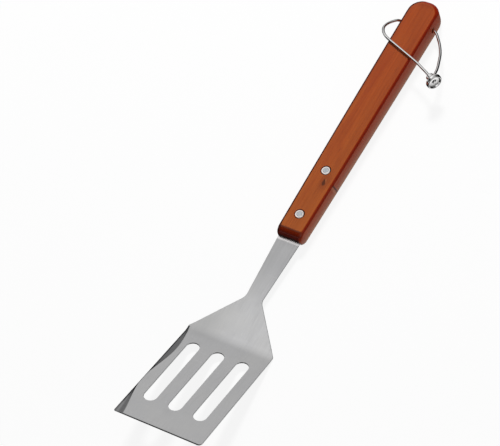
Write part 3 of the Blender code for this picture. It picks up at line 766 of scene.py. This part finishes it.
        # painted shade: the outer left edge is taken towards near black
        if t > 0.5 and x < -blade_half(t) + 1.7:
            dark = max(dark, 0.6) + 0.4 * smoothstep(2.2 - (x + blade_half(t)) / 0.7) * smoothstep((98 - t) / 10)
        top[v.index][lay] = dark
        bot[v.index] = out.verts.new(on_sheet(x, s, -SHEET / 2))
    sharp_pairs = []
    for f in bm.faces:
        idx = [v.index for v in f.verts]
        nf = out.faces.new([top[i] for i in idx])
        nf.material_index = f.material_index
        out.faces.new([bot[i] for i in reversed(idx)])
    for e in bm.edges:
        if len(e.link_faces) == 2 and e.link_faces[0].material_index != e.link_faces[1].material_index:
            s = (e.verts[0].co.y + e.verts[1].co.y) / 2
            if s - HEEL > 2.0:
                sharp_pairs.append((e.verts[0].index, e.verts[1].index))
    # rims: a rounded edge above and below, all round the outline and the holes
    nxt = {}
    for e in bm.edges:
        if len(e.link_faces) == 1:
            lp = next(l for l in e.link_faces[0].loops if l.edge == e)
            nxt[lp.vert.index] = lp.link_loop_next.vert.index
    prv = {b: a for a, b in nxt.items()}
    co = {v.index: v.co.copy() for v in bm.verts}
    steps = 4
    chains = {}
    for i in nxt:
        a, b, c = co[prv[i]].xy, co[i].xy, co[nxt[i]].xy
        d1, d2 = (b - a).normalized(), (c - b).normalized()
        n1, n2 = Vector((d1.y, -d1.x)), Vector((d2.y, -d2.x))
        m = (n1 + n2)
        m = m / max(0.2, m.length_squared) * 2.0 * RIM
        x, s = b
        up = hgt[i]
        h_edge = min(up, top_height(x + m.x, s + m.y)[0])
        rv = min(RIM, (h_edge + SHEET / 2) * 0.34)
        chain = [top[i]]
        for k in range(1, steps + 1):
            ang = math.pi / 2 * k / steps
            z = up + (h_edge - up) * math.sin(ang) - rv * (1 - math.cos(ang))
            v = out.verts.new(on_sheet(x + m.x * math.sin(ang), s + m.y * math.sin(ang), z))
            v[lay] = top[i][lay]
            chain.append(v)
        for k in range(steps, 0, -1):
            ang = math.pi / 2 * k / steps
            z = -SHEET / 2 + rv * (1 - math.cos(ang))
            v = out.verts.new(on_sheet(x + m.x * math.sin(ang), s + m.y * math.sin(ang), z))
            v[lay] = top[i][lay]
            chain.append(v)
        chain.append(bot[i])
        chains[i] = chain
    for i, j in nxt.items():
        a, b = chains[i], chains[j]
        on_left = min(top[i][lay], top[j][lay]) > 0.3
        for k in range(len(a) - 1):
            wall = out.faces.new((b[k], a[k], a[k + 1], b[k + 1]))
            wall.material_index = 1 if on_left else 0
    bm.free()
    for a, b in sharp_pairs:
        e = out.edges.get((top[a], top[b]))
        if e:
            e.smooth = False
    bmesh.ops.recalc_face_normals(out, faces=out.faces)
    ob = new_object("blade_sheet", out, (STEEL, GROUND))
    # new_object shades smooth; the marked line keeps its crease
    weighted(ob)
    return ob


# ------------------------------------------------------------------ the handle
def handle_half(y):
    u = (y - HANDLE_FRONT_Y) / 230.0
    return 0.5 * (HANDLE_WIDTH_NEAR + (HANDLE_WIDTH_FAR - HANDLE_WIDTH_NEAR) * u
                  + 4 * HANDLE_BARREL * u * (1 - u))


def handle_top(y):
    u = (y - HANDLE_FRONT_Y) / 230.0
    return HANDLE_THICK_NEAR + (HANDLE_THICK_FAR - HANDLE_THICK_NEAR) * u


def handle_plan(inset=0.0):
    side_in = SIDE_ROUND * inset
    y0 = HANDLE_FRONT_Y + NEAR_END_ROUND * inset
    y1 = HANDLE_FRONT_Y + HANDLE_LENGTH - FAR_END_ROUND * inset
    rc = NEAR_CORNER
    pts = []
    w0 = handle_half(y0) - side_in
    for k in range(17):
        pts.append((-w0 + rc + (2 * w0 - 2 * rc) * k / 16, y0))
    for k in range(1, 14):
        a = -math.pi / 2 + math.pi / 2 * k / 14
        pts.append((w0 - rc + rc * math.cos(a), y0 + rc + rc * math.sin(a)))
    n = 90
    rf = FAR_CORNER - side_in
    ya, yb = y0 + rc, y1 - rf
    for k in range(n + 1):
        y = ya + (yb - ya) * k / n
        pts.append((handle_half(y) - side_in, y))
    wf = handle_half(yb) - side_in
    for k in range(1, 60):
        a = math.pi * k / 60
        c = math.cos(a)
        pts.append(((wf - rf) * (0 if abs(c) < 1e-9 else math.copysign(1, c)) + rf * c,
                    yb + rf * math.sin(a)))
    for k in range(n + 1):
        y = yb - (yb - ya) * k / n
        pts.append((-(handle_half(y) - side_in), y))
    for k in range(1, 14):
        a = math.pi + math.pi / 2 * k / 14
        pts.append((-w0 + rc + rc * math.cos(a), y0 + rc + rc * math.sin(a)))
    return pts


def edge_round(y):
    y0, y1 = HANDLE_FRONT_Y, HANDLE_FRONT_Y + HANDLE_LENGTH
    near = (NEAR_END_ROUND - SIDE_ROUND) * smoothstep(1 - (y - y0) / 5.0)
    far = (FAR_END_ROUND - SIDE_ROUND) * smoothstep((y - (y1 - 16.0)) / 14.0)
    return SIDE_ROUND + near + far


def cutter(ob, target):
    md = target.modifiers.new("cut", 'BOOLEAN')
    md.operation = 'DIFFERENCE'
    md.solver = 'EXACT'
    md.object = ob


def build_handle():
    base = handle_plan()
    count = len(base)
    steps = 14
    levels = [(-1, math.pi / 2 * (1 - k / steps)) for k in range(steps + 1)]
    levels += [(1, math.pi / 2 * k / steps) for k in range(steps + 1)]
    bm = bmesh.new()
    loops = []
    for side, a in levels:
        ring = []
        for (x, y), (_, yb) in zip(handle_plan(1 - math.cos(a)), base):
            r = edge_round(yb)
            z = r - r * math.sin(a) if side < 0 else handle_top(y) - r + r * math.sin(a)
            ring.append(bm.verts.new(Vector((x, y, z)) * MM))
        loops.append(ring)
    for lo, hi in zip(loops[:-1], loops[1:]):
        for i in range(count):
            j = (i + 1) % count
            bm.faces.new((lo[i], lo[j], hi[j], hi[i]))
    bm.faces.new(list(reversed(loops[0])))
    bm.faces.new(loops[-1])
    bmesh.ops.recalc_face_normals(bm, faces=bm.faces)
    handle = new_object("handle_wood", bm, (WOOD,))
    cutters = []

    wide, slim = NECK_HALF_NEAR + GAP, TANG_HALF + GAP
    step, end, half = TANG_SHOULDER + GAP, TANG_LENGTH + GAP, SHEET / 2 + GAP
    outline = [(-wide, -4.0), (wide, -4.0), (wide, step), (slim, step), (slim, end),
               (-slim, end), (-slim, step), (-wide, step)]
    bm = bmesh.new()
    low = [bm.verts.new(Vector((x, y, -half)) * MM) for x, y in outline]
    high = [bm.verts.new(Vector((x, y, half)) * MM) for x, y in outline]
    bm.faces.new(list(reversed(low)))
    bm.faces.new(high)
    for i in range(len(outline)):
        j = (i + 1) % len(outline)
        bm.faces.new((low[i], low[j], high[j], high[i]))
    slot = new_object("cut_slot", bm)
    slot.location = Vector((0, HANDLE_FRONT_Y, SHEET_Z)) * MM
    slot.rotation_euler = (math.radians(NECK_PITCH), 0, 0)
    cutters.append(slot)
    for i, y in enumerate(RIVET_Y):
        top = handle_top(y)
        r, c = RIVET_HOLE_R, RIVET_HEAD_R + GAP
        d = RIVET_HEAD_T + GAP
        bore = turned("cut_rivet", [(0, -3), (c + 0.3, -3), (c + 0.3, -0.05), (c, 0.28), (c, d + 0.2), (r, d + 0.2),
                                    (r, top - d), (c, top - d), (c, top - 0.30), (c + 0.32, top + 0.08),
                                    (c + 0.32, top + 3), (0, top + 3)], (), 72, None)
        bore.location = Vector((0, y, 0)) * MM
        cutters.append(bore)
    # the cross hole, with a small countersink where the wire leaves the wood at each side
    w, r = handle_half(RING_Y), CROSS_HOLE_R
    hole = turned("cut_ring_hole", [(0, -20), (r + 0.85, -20), (r + 0.85, -w - 0.2), (r, 0.65 - w), (r, w - 0.65),
                                    (r + 0.85, w + 0.2), (r + 0.85, 20), (0, 20)], (), 48, None)
    aim(hole, (0, RING_Y, handle_top(RING_Y) / 2), (1, 0, 0))
    cutters.append(hole)
    for c in cutters:
        cutter(c, handle)
    bpy.context.view_layer.update()
    apply_modifiers(handle)
    for c in cutters:
        bpy.data.objects.remove(c, do_unlink=True)
    handle.data.materials.clear()
    handle.data.materials.append(WOOD)
    handle.data.shade_smooth()
    handle.data.set_sharp_from_angle(angle=math.radians(32))
    weighted(handle)
    return handle


# ------------------------------------------------------------------ rivets
def build_rivets():
    out = []
    for i, y in enumerate(RIVET_Y):
        top = handle_top(y)
        low = 0.25
        floor = low + 1.6
        cup = turned("rivet_socket_%d_turned" % (i + 1), rounded(
            [(0, low), (2.5, low + 0.02), (2.62, low + 0.10), (2.75, low + 0.02), (RIVET_HEAD_R, low + 0.06),
             (RIVET_HEAD_R, low + RIVET_HEAD_T),
             (RIVET_TUBE_R, low + RIVET_HEAD_T), (RIVET_TUBE_R, top - RIVET_HEAD_T - 0.9),
             (RIVET_BORE_R, top - RIVET_HEAD_T - 0.9), (RIVET_BORE_R, floor + 0.6), (0, floor + 0.6)],
            [0, .1, .06, .1, .42, .15, 0, .2, .2, .2, 0]), (RIVET,), 96)
        pin = turned("rivet_pin_%d_turned" % (i + 1), rounded(
            [(0, top + 0.24), (2.30, top + 0.21), (2.42, top + 0.12), (2.54, top + 0.20), (3.48, top + 0.15),
             (RIVET_HEAD_R, top - 0.30), (RIVET_HEAD_R, top - RIVET_HEAD_T),
             (RIVET_SHANK_R, top - RIVET_HEAD_T), (RIVET_SHANK_R, floor + 1.6),
             (RIVET_SHANK_R - 0.4, floor + 1.2), (0, floor + 1.2)],
            [0, .12, .05, .12, .5, .2, .15, .2, .1, .1, 0]), (RIVET,), 96)
        for ob, node in ((cup, "rivet_socket_%d" % (i + 1)), (pin, "rivet_pin_%d" % (i + 1))):
            ob.location = Vector((0, y, 0)) * MM
            settle(ob)
            out.append((ob, node))
    return out


# ------------------------------------------------------------------ hanging ring
HINGE = Vector((0.0, RING_Y, handle_top(RING_Y) / 2))
A = Vector((CROSS_X[0], CROSS_Y[0], handle_top(CROSS_Y[0]) + WIRE_R + REST_GAP))
B = Vector((CROSS_X[1], CROSS_Y[1], handle_top(CROSS_Y[1]) + WIRE_R + REST_GAP))
EU = (B - A).normalized()
EN = EU.cross(HINGE - A).normalized()
if EN.z < 0:
    EN = -EN
EV = EN.cross(EU)
RUN_V = (A - HINGE).dot(EV)


def in_ring(u, v):
    return HINGE + EU * u + EV * v


def smooth_path(points, spacing):
    p = [points[0] + (points[0] - points[1])] + list(points) + [points[-1] + (points[-1] - points[-2])]
    out = []
    for i in range(1, len(p) - 2):
        p0, p1, p2, p3 = p[i - 1], p[i], p[i + 1], p[i + 2]
        t0 = 0.0
        t1 = t0 + (p1 - p0).length ** 0.5
        t2 = t1 + (p2 - p1).length ** 0.5
        t3 = t2 + (p3 - p2).length ** 0.5
        n = max(1, round((p2 - p1).length / spacing))
        for k in range(n):
            t = t1 + (t2 - t1) * k / n
            a1 = p0 * ((t1 - t) / (t1 - t0)) + p1 * ((t - t0) / (t1 - t0))
            a2 = p1 * ((t2 - t) / (t2 - t1)) + p2 * ((t - t1) / (t2 - t1))
            a3 = p2 * ((t3 - t) / (t3 - t2)) + p3 * ((t - t2) / (t3 - t2))
            b1 = a1 * ((t2 - t) / (t2 - t0)) + a2 * ((t - t0) / (t2 - t0))
            b2 = a2 * ((t3 - t) / (t3 - t1)) + a3 * ((t - t1) / (t3 - t1))
            out.append(b1 * ((t2 - t) / (t2 - t1)) + b2 * ((t - t1) / (t2 - t1)))
    out.append(points[-1])
    return out


def ring_points():
    v = RUN_V
    x = Vector((1, 0, 0))
    ax = math.radians(CAP_AXIS_DEG)
    along = Vector((math.cos(ax), math.sin(ax)))
    face = Vector(CAP_FACE_UV)
    pts = []
    for back in (5.6, 9.6, 13.4):
        p = face - along * back
        pts.append(in_ring(p.x, p.y))
    pts += [in_ring(*q) for q in ((39.0, v - 0.75), (33.5, v - 0.1), (27.0, v), (16.0, v),
                                  (5.0, v), (-3.0, v + 0.05), (-8.0, v + 0.9),
                                  (-12.6, v + 3.2), (-15.9, v + 6.9), (-17.1, v + 11.8),
                                  (-16.8, v + 16.6), (-15.4, v + 21.2))]
    pts += [HINGE - x * 15.6 + Vector((0, -1.3, 0.9)), HINGE - x * 13.2, HINGE - x * 7.0,
            HINGE + x * 7.0, HINGE + x * 13.2, HINGE + x * 16.0 + Vector((0, -0.9, -0.3))]
    pts += [in_ring(*q) for q in ((20.2, 2.7), (28.4, -2.4), (35.8, -8.4), (42.4, -15.6),
                                  (47.9, -22.2), (51.3, -27.6), (52.8, -30.2))]
    return pts


def build_wire():
    pts = smooth_path(ring_points(), 0.7)
    # the curve's own kinks are eased, ends and cross-hole run kept
    for _ in range(6):
        q = list(pts)
        for i in range(2, len(pts) - 2):
            if abs((pts[i] - HINGE).y) < 0.4 and abs(pts[i].x) < 12.4 and abs(pts[i].z - HINGE.z) < 0.4:
                continue
            q[i] = pts[i] * 0.5 + (pts[i - 1] + pts[i + 1]) * 0.25
        pts = q
    sides = 28
    bm = bmesh.new()
    tangents = []
    for i in range(len(pts)):
        a, b = pts[max(0, i - 1)], pts[min(len(pts) - 1, i + 1)]
        tangents.append((b - a).normalized())
    nrm = tangents[0].orthogonal().normalized()
    rings = []
    for i, (p, t) in enumerate(zip(pts, tangents)):
        if i:
            axis = tangents[i - 1].cross(t)
            if axis.length > 1e-9:
                nrm = Matrix.Rotation(tangents[i - 1].angle(t), 3, axis.normalized()) @ nrm
        nrm = (nrm - t * nrm.dot(t)).normalized()
        bi = t.cross(nrm)
        ring = []
        for k in range(sides):
            a = 2 * math.pi * k / sides
            ring.append(bm.verts.new((p + (nrm * math.cos(a) + bi * math.sin(a)) * WIRE_R) * MM))
        rings.append(ring)
    for r0, r1 in zip(rings[:-1], rings[1:]):
        for k in range(sides):
            j = (k + 1) % sides
            bm.faces.new((r0[k], r0[j], r1[j], r1[k]))
    for ring, p, t in ((rings[0], pts[0], -tangents[0]), (rings[-1], pts[-1], tangents[-1])):
        tip = bm.verts.new((p + t * 0.12) * MM)
        for k in range(sides):
            j = (k + 1) % sides
            bm.faces.new((ring[k], ring[j], tip))
    bmesh.ops.recalc_face_normals(bm, faces=bm.faces)
    return new_object("ring_wire_drawn", bm, (CHROME,), 50)


def build_cap():
    ax = math.radians(CAP_AXIS_DEG)
    axis = EU * math.cos(ax) + EV * math.sin(ax)
    prof = [(0, -0.30), (1.1, -0.34), (1.7, -0.72), (2.6, -0.86), (4.4, -0.72), (4.95, -0.10), (5.35, 0.30),
            (5.75, 0.34), (6.2, 0.05), (6.5, -0.55), (CAP_R, -1.3), (CAP_R, -2.55), (6.1, -3.2),
            (CAP_BOSS_R + 0.5, -3.7), (CAP_BOSS_R, -4.3), (CAP_BOSS_R, -8.3), (CAP_BOSS_R - 0.7, -9.0), (0, -9.0)]
    cap = turned("ring_cap_turned", rounded(prof, [0, .6, .4, .4, .4, .5, .3, .3, .3, .4, .6, .5, .6, .6, .6, .5, .5, 0], 5),
                 (CAPMAT,), 96, None)
    aim(cap, in_ring(*CAP_FACE_UV), axis)
    ends = ring_points()
    tools = []
    for tip, inner in ((ends[1], ends[0]), (ends[-2], ends[-1])):
        hole = turned("cut_cap", [(0, -8.0), (WIRE_R + 0.12, -8.0), (WIRE_R + 0.12, GAP), (0, GAP)], (), 40, None)
        aim(hole, inner, (inner - tip).normalized())
        cutter(hole, cap)
        tools.append(hole)
    bpy.context.view_layer.update()
    apply_modifiers(cap)
    for t in tools:
        bpy.data.objects.remove(t, do_unlink=True)
    cap.data.materials.clear()
    cap.data.materials.append(CAPMAT)
    cap.data.shade_smooth()
    cap.data.set_sharp_from_angle(angle=math.radians(48))
    settle(cap)
    return cap


# ------------------------------------------------------------------ pieces on their bodies
blade = build_blade()
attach(blade, "root")
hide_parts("blade")

handle = build_handle()
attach(handle, "root")
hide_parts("handle")

for ob, node in build_rivets():
    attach(ob, "root")
    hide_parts(node)

wire = build_wire()
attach(wire, "hanging_ring")
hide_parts("ring_wire")

cap = build_cap()
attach(cap, "hanging_ring")
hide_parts("ring_cap")


# ------------------------------------------------------------------ stage
def make_stage():
    me = bpy.data.meshes.new("floor")
    s = 9.0
    z = -0.0002
    me.from_pydata([(-s, -s, z), (s, -s, z), (s, s, z), (-s, s, z)], [], [(0, 1, 2, 3)])
    floor = bpy.data.objects.new("floor", me)
    scene.collection.objects.link(floor)
    m = Nodes("floor_white")
    p = m.coords()
    n = m.noise(p, 3.0, 2.0, 0.5)
    m.link(m.mix(n, (0.125, 0.125, 0.125), (0.135, 0.135, 0.135)), m.bsdf.inputs["Base Color"])
    m.bsdf.inputs["Roughness"].default_value = 0.9
    m.bsdf.inputs["Specular IOR Level"].default_value = 0.0
    m.bsdf.inputs["Emission Color"].default_value = (1, 1, 1, 1)
    m.bsdf.inputs["Emission Strength"].default_value = 0.88
    me.materials.append(m.mat)
    floor.visible_glossy = False

    w = bpy.data.worlds.new("studio")
    scene.world = w
    w.use_nodes = True
    nt = w.node_tree
    nt.nodes.clear()
    out = nt.nodes.new("ShaderNodeOutputWorld")
    bg = nt.nodes.new("ShaderNodeBackground")
    nt.links.new(bg.outputs[0], out.inputs[0])
    tc = nt.nodes.new("ShaderNodeTexCoord")
    sep = nt.nodes.new("ShaderNodeSeparateXYZ")
    nt.links.new(tc.outputs["Generated"], sep.inputs[0])

    def rng(v, a, b, c, d):
        n = nt.nodes.new("ShaderNodeMapRange")
        n.interpolation_type = 'SMOOTHSTEP'
        n.clamp = True
        nt.links.new(v, n.inputs[0])
        for i, q in enumerate((a, b, c, d)):
            n.inputs[i + 1].default_value = q
        return n.outputs[0]

    def mul(op, a, b):
        n = nt.nodes.new("ShaderNodeMath")
        n.operation = op
        for i, v in enumerate((a, b)):
            if hasattr(v, "links"):
                nt.links.new(v, n.inputs[i])
            else:
                n.inputs[i].default_value = v
        return n.outputs[0]

    dx, dy, dz = sep.outputs[:3]
    # large soft panel above and behind, to the left; it reaches the horizon behind
    low_edge = rng(dy, 0.2, 0.6, 0.0, 0.28)
    lift = mul('ADD', dz, low_edge)
    panel = mul('MULTIPLY', rng(dy, -0.16, 0.02, 0.0, 1.0), rng(lift, 0.05, 0.28, 0.0, 1.0))
    panel = mul('MULTIPLY', panel, mul('MULTIPLY', rng(dx, -0.34, 0.06, 1.0, 0.0), rng(dx, -0.86, -0.62, 0.0, 1.0)))
    panel = mul('MULTIPLY', panel, mul('MULTIPLY', rng(dy, 0.10, 0.40, 1.20, 0.98), rng(dy, 0.46, 0.78, 1.0, 0.70)))
    # second soft panel, front right
    front = mul('MULTIPLY', rng(dx, 0.22, 0.50, 0.0, 1.0), rng(dy, -0.30, -0.05, 1.0, 0.0))
    front = mul('MULTIPLY', front, rng(dz, 0.20, 0.50, 0.0, 0.8))
    # the pale table top, seen from its lower right only
    card = mul('MULTIPLY', rng(dx, -0.20, 0.05, 0.0, 0.9), rng(dz, -0.93, -0.66, 1.0, 0.0))
    card = mul('ADD', card, mul('MULTIPLY', rng(dx, 0.46, 0.56, 0.0, 0.6), rng(dz, -0.72, -0.50, 1.0, 0.0)))
    fill = rng(dz, -0.1, 0.6, 0.012, 0.03)
    # soft walls at both sides and a dim ceiling, for looking at it from elsewhere
    reach = nt.nodes.new("ShaderNodeMath")
    reach.operation = 'ABSOLUTE'
    nt.links.new(dx, reach.inputs[0])
    walls = mul('MULTIPLY', rng(reach.outputs[0], 0.86, 0.94, 0.0, 0.75), rng(dz, -0.05, 0.10, 0.0, 1.0))
    top = mul('MULTIPLY', rng(dx, -0.20, 0.05, 0.0, 0.45), rng(dz, 0.50, 0.80, 0.0, 1.0))
    behind = mul('MULTIPLY', rng(dy, -0.80, -0.93, 0.0, 0.7), rng(dz, -0.05, 0.15, 0.0, 1.0))
    fill = mul('ADD', fill, mul('ADD', mul('ADD', walls, top), behind))
    light = mul('ADD', mul('ADD', panel, front), mul('ADD', card, fill))
    lp = nt.nodes.new("ShaderNodeLightPath")
    light = mul('MULTIPLY', light, rng(lp.outputs["Is Diffuse Ray"], 0.0, 1.0, 1.0, 0.50))
    pick = nt.nodes.new("ShaderNodeMix")
    pick.data_type = 'FLOAT'
    nt.links.new(lp.outputs["Is Camera Ray"], pick.inputs[0])
    nt.links.new(light, pick.inputs[2])
    pick.inputs[3].default_value = 0.96
    nt.links.new(pick.outputs[0], bg.inputs["Strength"])
    bg.inputs["Color"].default_value = (1, 1, 1, 1)

    def area(name, loc, target, size, power):
        ld = bpy.data.lights.new(name, 'AREA')
        ld.shape = 'RECTANGLE'
        ld.size, ld.size_y = size
        ld.energy = power
        lo = bpy.data.objects.new(name, ld)
        scene.collection.objects.link(lo)
        lo.location = loc
        lo.rotation_mode = 'QUATERNION'
        lo.rotation_quaternion = (Vector(target) - Vector(loc)).to_track_quat('-Z', 'Y')
        return lo

    key = area("key", (-0.5, 1.35, 1.65), (0, -0.08, 0), (0.5, 0.4), 36)
    key.visible_glossy = False


make_stage()
